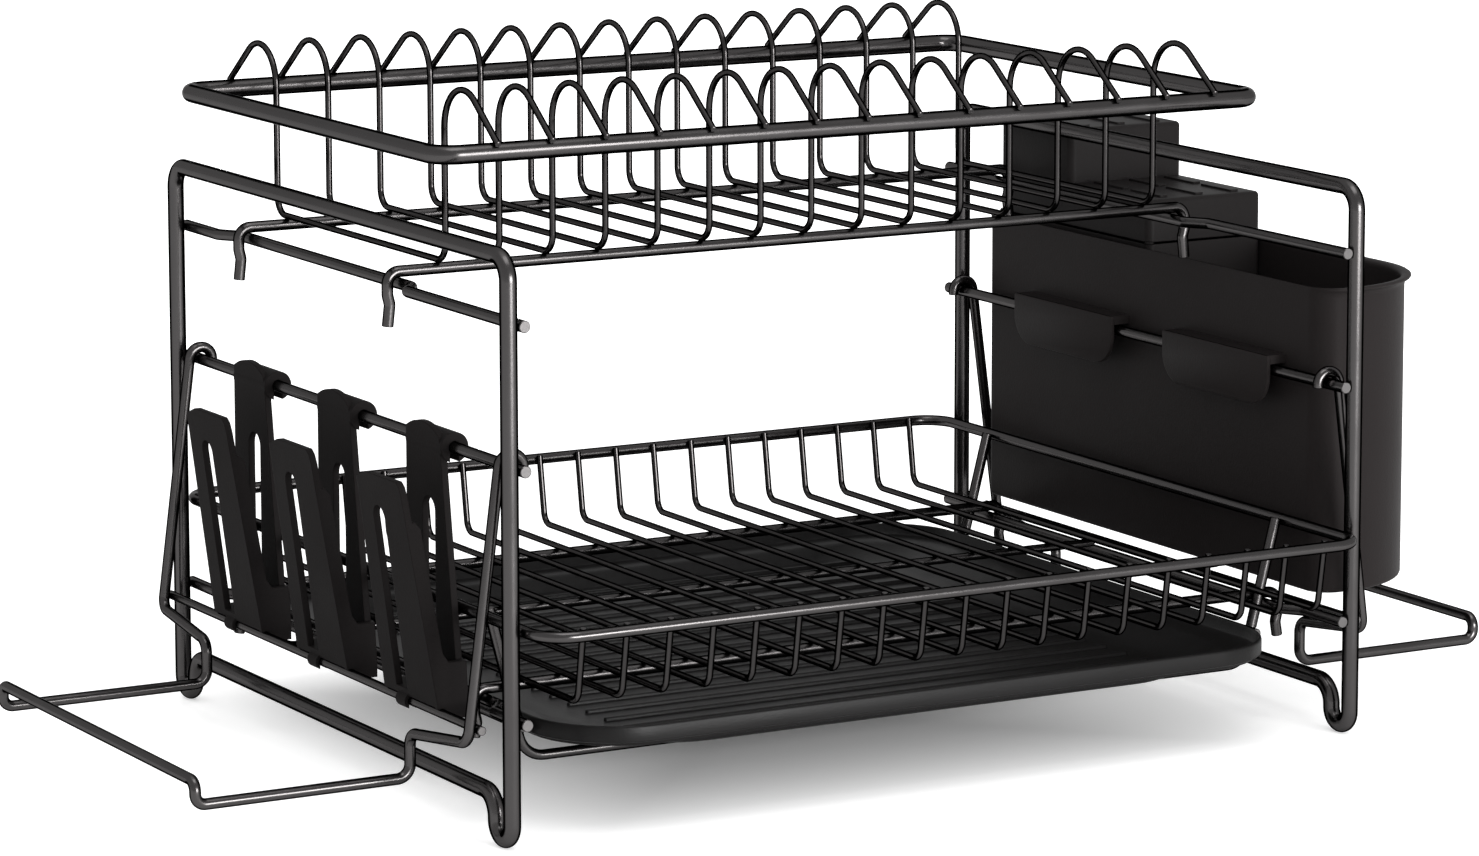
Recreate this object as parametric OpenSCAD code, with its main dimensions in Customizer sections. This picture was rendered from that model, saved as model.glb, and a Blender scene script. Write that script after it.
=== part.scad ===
// Two-tier dish drying rack of coated steel wire, with hinged side racks, cup holders,
// a drip tray, a cutlery box and a knife block. Millimetres, +Z up, front at -Y.

/* [Stand] */
// Distance between the middles of the two side frames
frame_span = 420; // [380:1:440]
// Distance between the middles of a side frame's two posts
frame_depth = 333; // [325:1:345]
// Height of the top bars' middle
frame_top = 246.9; // [235:0.1:262]
// Diameter of the side frames' wire
frame_wire = 7.5; // [6.5:0.1:9]
// Bend radius of the side frames' corners
frame_bend = 10; // [8:0.5:18]
// Bend radius of the U-shaped feet
foot_bend = 7; // [6.6:0.1:8]
// Height of the bottom rails' middle
rail_z = 21.3; // [20.8:0.1:24]
// Diameter of the crossbars
cross_wire = 5.2; // [4.5:0.1:6]
// Height of the upper crossbars' middle
upper_cross_z = 218.5; // [210:0.1:228]
// Height of the middle crossbars' middle
mid_cross_z = 158.5; // [154:0.1:162]
// Height of the lower crossbars' middle
lower_cross_z = 52.6; // [50:0.1:56]
// Length of a crossbar past the posts' middle at each end
cross_tail = 2.8; // [1:0.1:8]
// Inboard step of the crossbars that carry a basket
jog = 7.1; // [6:0.1:8]
// Length of a crossbar's straight stretch past a hook
jog_margin = 10.5; // [6:0.1:14]
// Length along which a crossbar steps inboard
jog_run = 10; // [8:0.5:16]
// Depth to which wires sink into each other at a weld
weld = 0.12; // [0.05:0.01:0.15]
// Play between a hung piece and the wire that carries it
seat_gap = 0.32; // [0.24:0.02:0.5]
// Inboard kink of the hooks' tails
hook_kink = 1; // [0:0.1:2]

/* [Upper basket] */
// Distance of the upper basket's middle behind the posts' middle
upper_back = 36.5; // [20:0.5:45]
// Length between the middles of the upper rim's short sides
upper_length = 410; // [390:1:420]
// Depth between the middles of the upper rim's long sides
upper_depth = 261.8; // [250:1:280]
// Height of the upper rim's middle
upper_rim_z = 280.1; // [274:0.1:290]
// Diameter of the upper rim
upper_rim_wire = 8.4; // [7:0.1:10]
// Bend radius of the upper rim
upper_rim_bend = 11; // [9:0.5:30]
// Distance between the upper basket's two runners
upper_runner_gap = 152.6; // [130:0.5:156]
// Diameter of the upper runners
runner_wire = 5.2; // [4.5:0.1:6]
// Diameter of the plate loops
loop_wire = 3; // [2.4:0.1:4]
// Number of plate loops
loop_count = 15; // [7:2:19]
// Distance between the middles of two plate loops
loop_pitch = 25.68; // [16:0.1:26]
// Distance between a plate loop's two upright legs
loop_width = 170; // [164:1:180]
// Radius of a plate loop's round crest
loop_crest = 18; // [12:0.5:20]
// Radius of a plate loop's lower bends
loop_bend = 8; // [4:0.5:8]
// Slope of a plate loop's outer arm, in degrees
loop_slope = 36.6; // [30:0.1:40]
// Length of a plate loop's end past its weld on the rim
loop_tail = 1.6; // [1:0.1:4]
// Depth of the upper hooks below their crossbar's middle
upper_hook_drop = 18; // [14:0.5:22]

/* [Lower basket] */
// Reach of the lower rim in front of the posts' middle
lower_front = 185.4; // [180:0.1:200]
// Reach of the lower rim behind the posts' middle
lower_back = 178.6; // [175:0.1:195]
// Play between the lower rim and the posts
lower_side_play = 0.45; // [0.35:0.05:3]
// Height of the lower rim's middle
lower_rim_z = 91.5; // [84:0.1:110]
// Diameter of the lower rim
lower_rim_wire = 5.2; // [4.5:0.1:6]
// Bend radius of the lower rim
lower_rim_bend = 15; // [12:0.5:30]
// Diameter of the floor wires
floor_wire = 3; // [2.4:0.1:4]
// Number of floor wires
floor_count = 19; // [9:2:25]
// Distance between the middles of two floor wires
floor_pitch = 20.5; // [12:0.1:20.8]
// Bend radius of the floor wires
floor_bend = 6; // [4:0.5:12]
// Lean of the floor wires' uprights at the front and back
floor_lean = 4.8; // [0:0.1:10]
// Distance between the lower basket's two hooked runners
lower_runner_gap = 237.4; // [220:0.2:244]
// Diameter of the hooked lower runners
lower_runner_wire = 5; // [4.5:0.1:6]
// Diameter of the thin middle runner
mid_runner_wire = 4; // [3:0.1:5]
// Distance of the middle runner behind the posts' middle
mid_runner_y = 15; // [-60:0.5:60]
// Depth of the lower hooks below their crossbar's middle
lower_hook_drop = 15; // [12:0.5:18]

/* [Cradle and tray] */
// Diameter of the slanted hangers
hanger_wire = 5; // [4:0.1:6]
// Diameter of the cradle's rods and wires
cradle_wire = 4.5; // [4:0.1:5.5]
// Distance between the middles of the two cradle rods
cradle_span = 370; // [350:1:374]
// Height of the cradle rods' middle
cradle_z = 42; // [40:0.1:43]
// Length of the cradle rods
cradle_length = 258.6; // [252:0.2:280]
// Height of the cradle wires' middle
cradle_low_z = 27.6; // [26:0.1:29]
// Bend radius of the cradle wires
cradle_bend = 12; // [8:0.5:12]
// Play between the tray and each cradle rod
tray_play = 1.75; // [1:0.05:4]
// Depth of the tray from front to back
tray_depth = 333; // [290:1:345]
// Corner radius of the tray
tray_corner = 40; // [20:1:60]
// Height of the tray's rim
tray_rim = 7.4; // [5:0.1:8.5]
// Depth of the tray's body below its rim
tray_body = 7.4; // [6:0.1:8]
// Inset of the tray's body from its front and back
tray_inset = 17; // [10:0.5:24]
// Inset of the tray's body from its two ends
tray_end_inset = 15; // [12:0.5:24]
// Length of the tray's sloping ends
tray_slope = 25; // [10:0.5:50]
// Wall thickness of the tray
tray_wall = 2; // [1.4:0.1:3]
// Height of the tray's feet
tray_foot = 0.85; // [0.6:0.05:1.5]
// Distance between two ribs of the tray
rib_pitch = 17; // [12:0.5:30]
// Width of a tray rib
rib_width = 2.4; // [1.5:0.1:5]
// Height of a tray rib
rib_height = 1.6; // [0.8:0.1:3]

/* [Side racks] */
// Diameter of the side racks' wire
rack_wire = 5; // [4.5:0.1:6]
// Distance of a rack hook from the post's middle, along the crossbar
rack_hook_inset = 11; // [9:0.5:14]
// Play of a rack hook round the middle crossbar
rack_play = 0.4; // [0.3:0.05:0.8]
// Lean of the racks' legs, in degrees
rack_lean = 7.6; // [6:0.1:9]
// Height of the bend at the foot of a rack's legs
rack_knee_z = 45; // [42:0.5:46]
// Distance between the middles of a rack's two arms
rack_arm_gap = 208; // [180:1:240]
// Height of a rack's arms
rack_arm_z = 20; // [16:0.5:22]
// Drop from the foot of a rack's legs to the top of its arms' risers
rack_jog_drop = 6; // [4:0.5:7]
// Distance of a rack's outer bar from the side frame's middle
rack_reach = 114; // [90:1:150]
// Step from a rack's arms up to its outer bar
rack_step = 10; // [10:0.5:20]
// Diameter of a rack's lower rod
rod_wire = 4; // [3.5:0.1:5]
// Height of a rack's lower rod
rod_z = 50; // [49:0.1:51]
// Length of a rack's lower rod past the legs' middle
rod_tail = 3; // [2.6:0.1:6]

/* [Cup holders] */
// Distance of the rear cup holder's back edge behind the posts' middle
holder_back = 105; // [90:0.5:118]
// Distance between two cup holders
holder_pitch = 87.7; // [84:0.1:96]
// Thickness of the cup holders' walls
holder_wall = 3; // [2.2:0.1:3.4]
// Play between the cup holders' straps and the side frame's plane
holder_gap = 0.75; // [0.6:0.05:1.2]
// Play of the cup holders' clips round their wires
clip_play = 0.08; // [0.03:0.01:0.09]
// Outer diameter of the cup holders' upper clips
clip_round = 13; // [11:0.5:14]
// Height of the cup holders' straps above the middle crossbar's middle
holder_rise = 9.1; // [8:0.1:14]
// Radius of the straps' round tops
strap_lobe = 30; // [24:1:60]
// Width of a strap at its clip
strap_width = 33.5; // [28:0.5:36]
// Width of a cup holder at its foot
holder_width = 51; // [48:0.5:54]
// Slope of the blades, as outward travel per unit of height
blade_slope = 0.1317; // [0.08:0.001:0.16]
// Height of the blades' top below the middle crossbar's middle
blade_drop = 11.1; // [8:0.1:20]
// Width of the slots in the straps
strap_slot = 12; // [6:0.5:14]
// Width of the slots in the blades
blade_slot = 10.6; // [6:0.2:12]
// Height of the front wall's sill
sill_z = 71; // [66:0.5:78]
// Width of a cup holder's lower clip
foot_clip = 9; // [6:0.5:16]
// Width of the flange along a blade's front edge
blade_flange = 6.5; // [4.5:0.1:8]

/* [Cutlery box] */
// Distance of the box's inner face outboard of the middle crossbar's middle
box_off = 4.9; // [4:0.1:6]
// Outer width of the cutlery box
box_width = 72; // [70:0.1:90]
// Reach of the cutlery box in front of the posts' middle
box_front = 143.5; // [130:0.5:146]
// Reach of the cutlery box behind the posts' middle
box_back = 141; // [130:0.5:146]
// Height of the cutlery box's underside
box_bottom = 59.5; // [59:0.5:70]
// Height of the cutlery box's rim
box_top = 198.8; // [194:0.1:202]
// Wall thickness of the cutlery box
box_wall = 2; // [1.6:0.1:2.6]
// Radius of the box's large front corner
box_round = 56; // [40:1:58]
// Radius of the box's front corner beside the stand
box_nose = 12; // [6:0.5:14]
// Radius of the box's rear corners
box_corner = 6; // [4.4:0.2:9]
// Width of the box's rim flange
flange_out = 3; // [2:0.1:5]
// Height of the box's rim flange
flange_high = 2; // [1.6:0.1:6]
// Distance of the divider in front of the posts' middle
divider_y = 65; // [40:1:90]
// Height of the divider below the box's rim
divider_drop = 13.8; // [6:0.1:40]
// Width of a drain slot in the box's floor
drain_width = 5; // [3:0.5:6]
// Length of a drain slot in the box's floor
drain_length = 44; // [30:1:50]
// Width of a hanging clip
hanger_clip = 86; // [60:1:92]
// Front edge of the rear hanging clip, behind the posts' middle
hanger_clip_y = 14; // [8:0.5:20]
// Distance between the two hanging clips
hanger_clip_pitch = 129; // [110:0.5:132]
// Play between a hanging clip's face plate and the middle crossbar
hanger_play = 0.6; // [0.4:0.05:1.5]
// Thickness of a hanging clip's top plate
hanger_top = 4; // [2.5:0.1:5]
// Depth of a hanging clip's face plate below the crossbar's middle
hanger_drop = 16.5; // [10:0.5:30]
// Radius of a face plate's lower corners
hanger_round = 14; // [4:0.5:16]

/* [Knife block] */
// Play between the knife block and the box's walls
block_play = 0.5; // [0.3:0.05:1]
// Front face of the knife block, behind the posts' middle
block_front = 7; // [0:0.5:20]
// Step between the knife block's two tiers, behind the posts' middle
block_step = 75; // [66:0.5:84]
// Height of the front tier above the box's rim
tier_low = 21.7; // [14:0.1:30]
// Height of the rear tier above the box's rim
tier_high = 47.7; // [34:0.1:56]
// Depth of the knife block inside the box
block_depth = 48; // [30:1:100]
// Wall thickness of the knife block
block_wall = 2.2; // [1.6:0.1:2.6]
// Thickness of the knife block's flange
block_flange = 1.6; // [1.2:0.1:3]
// Corner radius of the knife block
block_corner = 3; // [2.6:0.1:4]
// Width of a knife slot
slot_width = 4.6; // [4.2:0.1:6]
// Length of a knife slot
slot_length = 26; // [20:0.5:27]
// Number of knife slots across the block
slot_cols = 3; // [2:1:4]
// Distance between two knife slots across the block
slot_pitch = 20; // [16:0.5:22]
// Distance between the middles of two slots along the block
slot_step = 32; // [30:0.5:32.5]

/* [Hidden] */
$fn = 48;

// The origin lies on the floor under the middle of the whole rack's box.
// The posts' middle is a little behind it, because the lower rim reaches further forward.
y_mid = (lower_front - lower_back) / 2;

// Length by which straight wire runs into a bend, and the bend's extra diameter
lap = 0.2;
swell = 0.04;

// Side frames and crossbars
frame_x = frame_span / 2;
post_y = frame_depth / 2;
foot_z = frame_wire / 2;
foot_y = post_y - 2 * foot_bend;
cross_x = frame_x - frame_wire / 2 - cross_wire / 2 + weld;
cross_y = post_y + cross_tail;
cross_bend = 5;
// The hooks' outer faces stay clear of the side frames' inner faces
hook_reach = cross_wire / 2 + seat_gap + max(runner_wire, lower_runner_wire) + hook_kink;
jog_x = min(cross_x - jog, frame_x - frame_wire / 2 - 0.35 - hook_reach);

// Upper basket
hook_bend = cross_wire / 2 + seat_gap + runner_wire / 2;
upper_runner_z = upper_cross_z + hook_bend;
upper_runner_y = upper_runner_gap / 2;
loop_floor_z = upper_runner_z + runner_wire / 2 + loop_wire / 2 - weld;
loop_foot = upper_rim_wire / 2 + loop_wire / 2 - weld;
loop_foot_y = upper_depth / 2 + loop_foot * sin(loop_slope);
loop_foot_z = upper_rim_z + loop_foot * cos(loop_slope);
loop_leg_y = loop_width / 2;
loop_peak_z = loop_foot_z + (loop_foot_y - loop_leg_y) * tan(loop_slope);

// Lower basket
lower_hook_bend = cross_wire / 2 + seat_gap + lower_runner_wire / 2;
lower_runner_z = lower_cross_z + lower_hook_bend;
lower_runner_top = lower_runner_z + lower_runner_wire / 2;
lower_rim_x = frame_x - frame_wire / 2 - lower_side_play - lower_rim_wire / 2;
lower_runner_y = lower_runner_gap / 2;
floor_z = lower_runner_top + floor_wire / 2 - weld;
floor_front = lower_front - lower_rim_wire / 2 - floor_wire / 2 + weld;
floor_back = lower_back - lower_rim_wire / 2 - floor_wire / 2 + weld;

// Hangers and cradle
cradle_x = cradle_span / 2;
hanger_y = lower_runner_y + lower_runner_wire / 2 + hanger_wire / 2 - weld;
hanger_touch = lower_rim_wire / 2 + hanger_wire / 2 - weld;
// Lean of the hangers: their line touches the rim's inner side and meets the cradle rod's middle
hanger_dx = lower_rim_x - cradle_x;
hanger_dz = lower_rim_z - cradle_z;
hanger_tilt = atan(hanger_dx / hanger_dz) - asin(hanger_touch / norm([hanger_dx, hanger_dz]));
// The outermost floor wires stay inboard of the hangers
floor_reach = cradle_x + (floor_z - cradle_z) * tan(hanger_tilt)
  - (hanger_wire / 2 + floor_wire / 2 + 0.6) / cos(hanger_tilt);
floor_half = min((floor_count - 1) / 2 * floor_pitch, floor_reach);
floor_step = 2 * floor_half / (floor_count - 1);
cradle_wire_y = hanger_y;
tray_x = cradle_x - cradle_wire / 2 - tray_play;
tray_y = tray_depth / 2;
tray_base_z = cradle_low_z + cradle_wire / 2 + seat_gap + tray_foot;
tray_rim_z = tray_base_z + tray_body;
tray_top_z = tray_rim_z + tray_rim;
tray_floor_x = tray_x - tray_end_inset - tray_slope;
tray_body_y = tray_y - tray_inset;
rib_count = 2 * floor((tray_body_y - tray_wall - rib_width - 6) / rib_pitch) + 1;

// Side racks
hook_round = cross_wire / 2 + rack_play + rack_wire / 2;
rack_hook_y = post_y - rack_hook_inset;
rack_top_z = mid_cross_z + hook_round;
rack_in_x = cross_x - hook_round;
rack_out_x = rack_in_x + hook_round * (1 + tan((90 - rack_lean) / 2));
rack_peak_z = mid_cross_z + hook_round * tan((180 - rack_lean) / 2);
rack_knee_x = rack_out_x + (rack_top_z - rack_knee_z) * tan(rack_lean);
rack_arm_x = rack_knee_x + rack_jog_drop / 4;
rack_arm_y = rack_arm_gap / 2;
rack_end_x = frame_x + rack_reach;
rack_bend = 6;
rod_x = rack_out_x + (rack_top_z - rod_z) * tan(rack_lean)
  - (rack_wire / 2 + rod_wire / 2 - weld) / cos(rack_lean);
rod_y = rack_hook_y + rod_tail;

// Cup holders, in their own frame: x outboard from the middle of the rack, y from the back edge
strap_x = frame_x - frame_wire / 2 + holder_gap;
holder_floor_z = rod_z + rod_wire / 2 + seat_gap;
holder_low_z = holder_floor_z - 5;
blade_foot_x = rod_x + rod_wire / 2 - 0.1;
blade_top_z = mid_cross_z - blade_drop;
blade_top_x = blade_foot_x + (blade_top_z - holder_floor_z) * blade_slope;
blade_thick = holder_wall * sqrt(1 + blade_slope * blade_slope);
wall_top_z = blade_top_z - 17;
foot_clip_round = rod_wire / 2 + 1.6;

// Cutlery box and knife block. The box ends short of the right rack's legs.
box_room = rack_hook_y - rack_wire / 2 - 3;
box_y0 = -min(box_front, box_room);
box_y1 = min(box_back, box_room);
box_x0 = cross_x + box_off;
box_x1 = box_x0 + box_width;
nose_round = min(box_nose, box_width - box_round - 1);
plate_x1 = cross_x - cross_wire / 2 - hanger_play;
plate_x0 = plate_x1 - box_wall;
hang_z = mid_cross_z + cross_wire / 2 + seat_gap;
// The block stands clear of the box's wall and of the side frame's top bar above it
block_x0 = max(box_x0 + box_wall, frame_x + frame_wire / 2) + block_play;
block_x1 = box_x1 - box_wall - block_play;
block_y1 = box_y1 - box_wall - block_play;
flange_z = box_top + seat_gap;
block_mid_x = (block_x0 + block_x1) / 2;

// Unit vector from corner i to corner i + 1
function way(p, i) = (p[i + 1] - p[i]) / norm(p[i + 1] - p[i]);
// Angle through which the wire turns at corner i
function turn(p, i) = acos(max(-1, min(1, way(p, i - 1) * way(p, i))));
// Length of straight wire that the bend at corner i takes up
function cut(p, r, i) = i <= 0 || i >= len(p) - 1 ? 0 : r[i - 1] * tan(turn(p, i) / 2);
// A vector square to u
function square_to(u) = abs(u[1]) > 0.9 ? [1, 0, 0] : cross(u, [0, 1, 0]) / norm(cross(u, [0, 1, 0]));

// Places children: z along u, x along e, origin at o
module aim(o, e, u) {
  k = cross(u, e);
  multmatrix([[e[0], k[0], u[0], o[0]], [e[1], k[1], u[1], o[1]], [e[2], k[2], u[2], o[2]], [0, 0, 0, 1]])
    children();
}

// Straight round wire from a to b
module stick(a, b, d) {
  if (norm(b - a) > 0.01) {
    u = (b - a) / norm(b - a);
    e0 = square_to(u);
    e = e0 - (e0 * u) * u;
    aim(a, e / norm(e), u) cylinder(h = norm(b - a), d = d);
  }
}

// Bend of radius r at corner p, from direction u to direction v
module elbow(p, u, v, r, d) {
  t = acos(max(-1, min(1, u * v)));
  n = (v - u * cos(t)) / sin(t);
  s = p - u * r * tan(t / 2);
  o = s + n * r;
  k = cross(-n, u);
  multmatrix([[-n[0], u[0], k[0], o[0]], [-n[1], u[1], k[1], o[1]], [-n[2], u[2], k[2], o[2]], [0, 0, 0, 1]])
    rotate_extrude(angle = t) translate([r, 0]) circle(d = d);
}

// Wire bent through the corners p with one radius for each inner corner.
// The straight stretches run a little into the bends, which are a hair thicker.
module bent_wire(p, r, d) {
  last = len(p) - 1;
  union() {
    for (i = [0 : last - 1])
      stick(p[i] + way(p, i) * (cut(p, r, i) - (i > 0 ? lap : 0)),
        p[i + 1] - way(p, i) * (cut(p, r, i + 1) - (i + 1 < last ? lap : 0)), d);
    for (i = [1 : last - 1])
      elbow(p[i], way(p, i - 1), way(p, i), r[i - 1], d + swell);
  }
}

// Closed ring of wire with a bend at every corner
module bent_ring(p, r, d) {
  n = len(p);
  q = [for (i = [0 : n + 2]) p[i % n]];
  union() {
    for (i = [1 : n]) {
      a = r[i % n] * tan(turn(q, i) / 2);
      b = r[(i + 1) % n] * tan(turn(q, i + 1) / 2);
      if (norm(q[i + 1] - q[i]) - a - b > 0.01)
        stick(q[i] + way(q, i) * (a - lap), q[i + 1] - way(q, i) * (b - lap), d);
      elbow(q[i], way(q, i - 1), way(q, i), r[i % n], d + swell);
    }
  }
}

// Flat outline with round corners, from corner a to corner b
module round_plate(a, b, r) {
  union() {
    translate([a[0] + r, a[1]]) square([b[0] - a[0] - 2 * r, b[1] - a[1]]);
    translate([a[0], a[1] + r]) square([b[0] - a[0], b[1] - a[1] - 2 * r]);
    for (x = [a[0] + r, b[0] - r])
      for (y = [a[1] + r, b[1] - r])
        translate([x, y]) circle(r = r);
  }
}

// Mirrored copy for the right-hand side, and the side's sign
module on_side(s) {
  mirror([s < 0 ? 1 : 0, 0, 0]) translate([0, y_mid, 0]) children();
}

// ---- Stand ----

// One wire: top bar, two posts, two U-shaped feet and the bottom rail between them
module side_frame(s) {
  p = [[frame_x, -post_y, frame_top], [frame_x, -post_y, foot_z], [frame_x, -foot_y, foot_z],
    [frame_x, -foot_y, rail_z], [frame_x, foot_y, rail_z], [frame_x, foot_y, foot_z],
    [frame_x, post_y, foot_z], [frame_x, post_y, frame_top]];
  r = [frame_bend, foot_bend, foot_bend, frame_bend, frame_bend, foot_bend, foot_bend, frame_bend];
  on_side(s) bent_ring(p, r, frame_wire);
}

module side_frame_left() { color("#3a3a3c") side_frame(-1); }
module side_frame_right() { color("#3a3a3c") side_frame(1); }

// Crossbar that steps inboard between y0 and y1, where a basket hooks over it
module jogged_bar(s, z, y0, y1) {
  p = [[cross_x, -cross_y, z], [cross_x, y0 - jog_run, z], [jog_x, y0, z],
    [jog_x, y1, z], [cross_x, y1 + jog_run, z], [cross_x, cross_y, z]];
  on_side(s) bent_wire(p, [cross_bend, cross_bend, cross_bend, cross_bend], cross_wire);
}

module upper_crossbar(s) {
  jogged_bar(s, upper_cross_z, upper_back - upper_runner_y - jog_margin,
    upper_back + upper_runner_y + jog_margin);
}

module lower_crossbar(s) {
  jogged_bar(s, lower_cross_z, -lower_runner_y - jog_margin, lower_runner_y + jog_margin);
}

module mid_crossbar(s) {
  on_side(s) stick([cross_x, -cross_y, mid_cross_z], [cross_x, cross_y, mid_cross_z], cross_wire);
}

module crossbar_upper_left() { color("#454548") upper_crossbar(-1); }
module crossbar_upper_right() { color("#454548") upper_crossbar(1); }
module crossbar_mid_left() { color("#454548") mid_crossbar(-1); }
module crossbar_mid_right() { color("#454548") mid_crossbar(1); }
module crossbar_lower_left() { color("#454548") lower_crossbar(-1); }
module crossbar_lower_right() { color("#454548") lower_crossbar(1); }

// Straight runner whose two ends hook down over the crossbars.
// The legs stand outboard by the kink of their tails, so the hooks lift straight off.
module hooked_runner(y, z, bend, drop, d) {
  x = jog_x + bend + hook_kink;
  half = [[x, 0, z], [x, 0, z - bend - 4.5], [x - hook_kink, 0, z - bend - 8.5], [x + 0.1, 0, z - bend - drop]];
  p = concat([for (i = [3 : -1 : 0]) [-half[i][0], y, half[i][2]]], [for (i = [0 : 3]) [half[i][0], y, half[i][2]]]);
  translate([0, y_mid, 0]) bent_wire(p, [4, 4, bend, bend, 4, 4], d);
}

// ---- Upper basket ----

module upper_rim() {
  x = upper_length / 2;
  y = upper_depth / 2;
  r = upper_rim_bend;
  p = [[-x, -y, 0], [x, -y, 0], [x, y, 0], [-x, y, 0]];
  color("#2f2f31") translate([0, y_mid + upper_back, upper_rim_z]) bent_ring(p, [r, r, r, r], upper_rim_wire);
}

module upper_runner_front() {
  color("#454548")
    hooked_runner(upper_back - upper_runner_y, upper_runner_z, hook_bend, upper_hook_drop, runner_wire);
}

module upper_runner_back() {
  color("#454548")
    hooked_runner(upper_back + upper_runner_y, upper_runner_z, hook_bend, upper_hook_drop, runner_wire);
}

// Loops that hold the plates on edge: arm on the rim, round crest, leg, floor, and back up
module plate_loops() {
  ye = loop_foot_y + loop_tail * cos(loop_slope);
  ze = loop_foot_z - loop_tail * sin(loop_slope);
  p = [[0, -ye, ze], [0, -loop_leg_y, loop_peak_z], [0, -loop_leg_y, loop_floor_z],
    [0, loop_leg_y, loop_floor_z], [0, loop_leg_y, loop_peak_z], [0, ye, ze]];
  color("#555558") translate([0, y_mid + upper_back, 0])
    for (i = [0 : loop_count - 1])
      translate([(i - (loop_count - 1) / 2) * loop_pitch, 0, 0])
        bent_wire(p, [loop_crest, loop_bend, loop_bend, loop_crest], loop_wire);
}

// ---- Lower basket ----

module lower_rim() {
  x = lower_rim_x;
  r = lower_rim_bend;
  p = [[-x, -lower_front, lower_rim_z], [x, -lower_front, lower_rim_z],
    [x, lower_back, lower_rim_z], [-x, lower_back, lower_rim_z]];
  color("#3a3a3c") translate([0, y_mid, 0]) bent_ring(p, [r, r, r, r], lower_rim_wire);
}

module lower_runner_front() {
  color("#454548")
    hooked_runner(-lower_runner_y, lower_runner_z, lower_hook_bend, lower_hook_drop, lower_runner_wire);
}

module lower_runner_back() {
  color("#454548")
    hooked_runner(lower_runner_y, lower_runner_z, lower_hook_bend, lower_hook_drop, lower_runner_wire);
}

// Thin runner under the middle of the floor wires, level with the others on top
module lower_runner_middle() {
  x = floor_half + floor_wire / 2 + 4;
  z = lower_runner_top - mid_runner_wire / 2;
  color("#454548") translate([0, y_mid + mid_runner_y, z]) stick([-x, 0, 0], [x, 0, 0], mid_runner_wire);
}

// U-shaped wires whose uprights stand inside the rim
module floor_wires() {
  top = lower_rim_z + lower_rim_wire / 2 - 0.2;
  g = floor_lean / (lower_rim_z - floor_z);
  f0 = floor_front - floor_lean;
  b0 = floor_back - floor_lean;
  p = [[0, -floor_front - g * (top - lower_rim_z), top], [0, -f0, floor_z],
    [0, b0, floor_z], [0, floor_back + g * (top - lower_rim_z), top]];
  color("#555558") translate([0, y_mid, 0])
    for (i = [0 : floor_count - 1])
      translate([(i - (floor_count - 1) / 2) * floor_step, 0, 0])
        bent_wire(p, [floor_bend, floor_bend], floor_wire);
}

// ---- Hangers and cradle ----

// Slanted wire welded inside the lower rim, with its foot on the cradle rod
module hanger(sx, sy) {
  u = [sin(hanger_tilt), 0, cos(hanger_tilt)];
  a = [cradle_x, sy * hanger_y, cradle_z] + u * (cradle_wire / 2 - weld);
  b = [cradle_x, sy * hanger_y, cradle_z] + u * (hanger_dz / cos(hanger_tilt) + 1.5);
  on_side(sx) stick(a, b, hanger_wire);
}

module hanger_front_left() { color("#4d4d50") hanger(-1, -1); }
module hanger_front_right() { color("#4d4d50") hanger(1, -1); }
module hanger_back_left() { color("#4d4d50") hanger(-1, 1); }
module hanger_back_right() { color("#4d4d50") hanger(1, 1); }

module cradle_rod(s) {
  y = cradle_length / 2;
  on_side(s) stick([cradle_x, -y, cradle_z], [cradle_x, y, cradle_z], cradle_wire);
}

module cradle_rod_left() { color("#4d4d50") cradle_rod(-1); }
module cradle_rod_right() { color("#4d4d50") cradle_rod(1); }

// Wire under the tray, bent up at both ends to the rods' undersides
module cradle_wire(y) {
  z = cradle_z - cradle_wire / 2 + weld;
  p = [[-cradle_x, y, z], [-cradle_x, y, cradle_low_z], [cradle_x, y, cradle_low_z], [cradle_x, y, z]];
  r = min(cradle_bend, z - cradle_low_z - 0.05);
  translate([0, y_mid, 0]) bent_wire(p, [r, r], cradle_wire);
}

module cradle_wire_front() { color("#4d4d50") cradle_wire(-cradle_wire_y); }
module cradle_wire_back() { color("#4d4d50") cradle_wire(cradle_wire_y); }

// ---- Drip tray ----

// Solid with a round-cornered outline and ends that slope from xl at z0 to xh at z1
module sloped_dish(xl, xh, y, r, z0, z1) {
  intersection() {
    translate([0, 0, z0]) linear_extrude(z1 - z0) round_plate([-xh, -y], [xh, y], r);
    rotate([90, 0, 0]) translate([0, 0, -y - 1]) linear_extrude(2 * y + 2)
      polygon([[-xl, z0], [xl, z0], [xh, z1], [xh, z1 + 1], [-xh, z1 + 1], [-xh, z1]]);
  }
}

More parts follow.
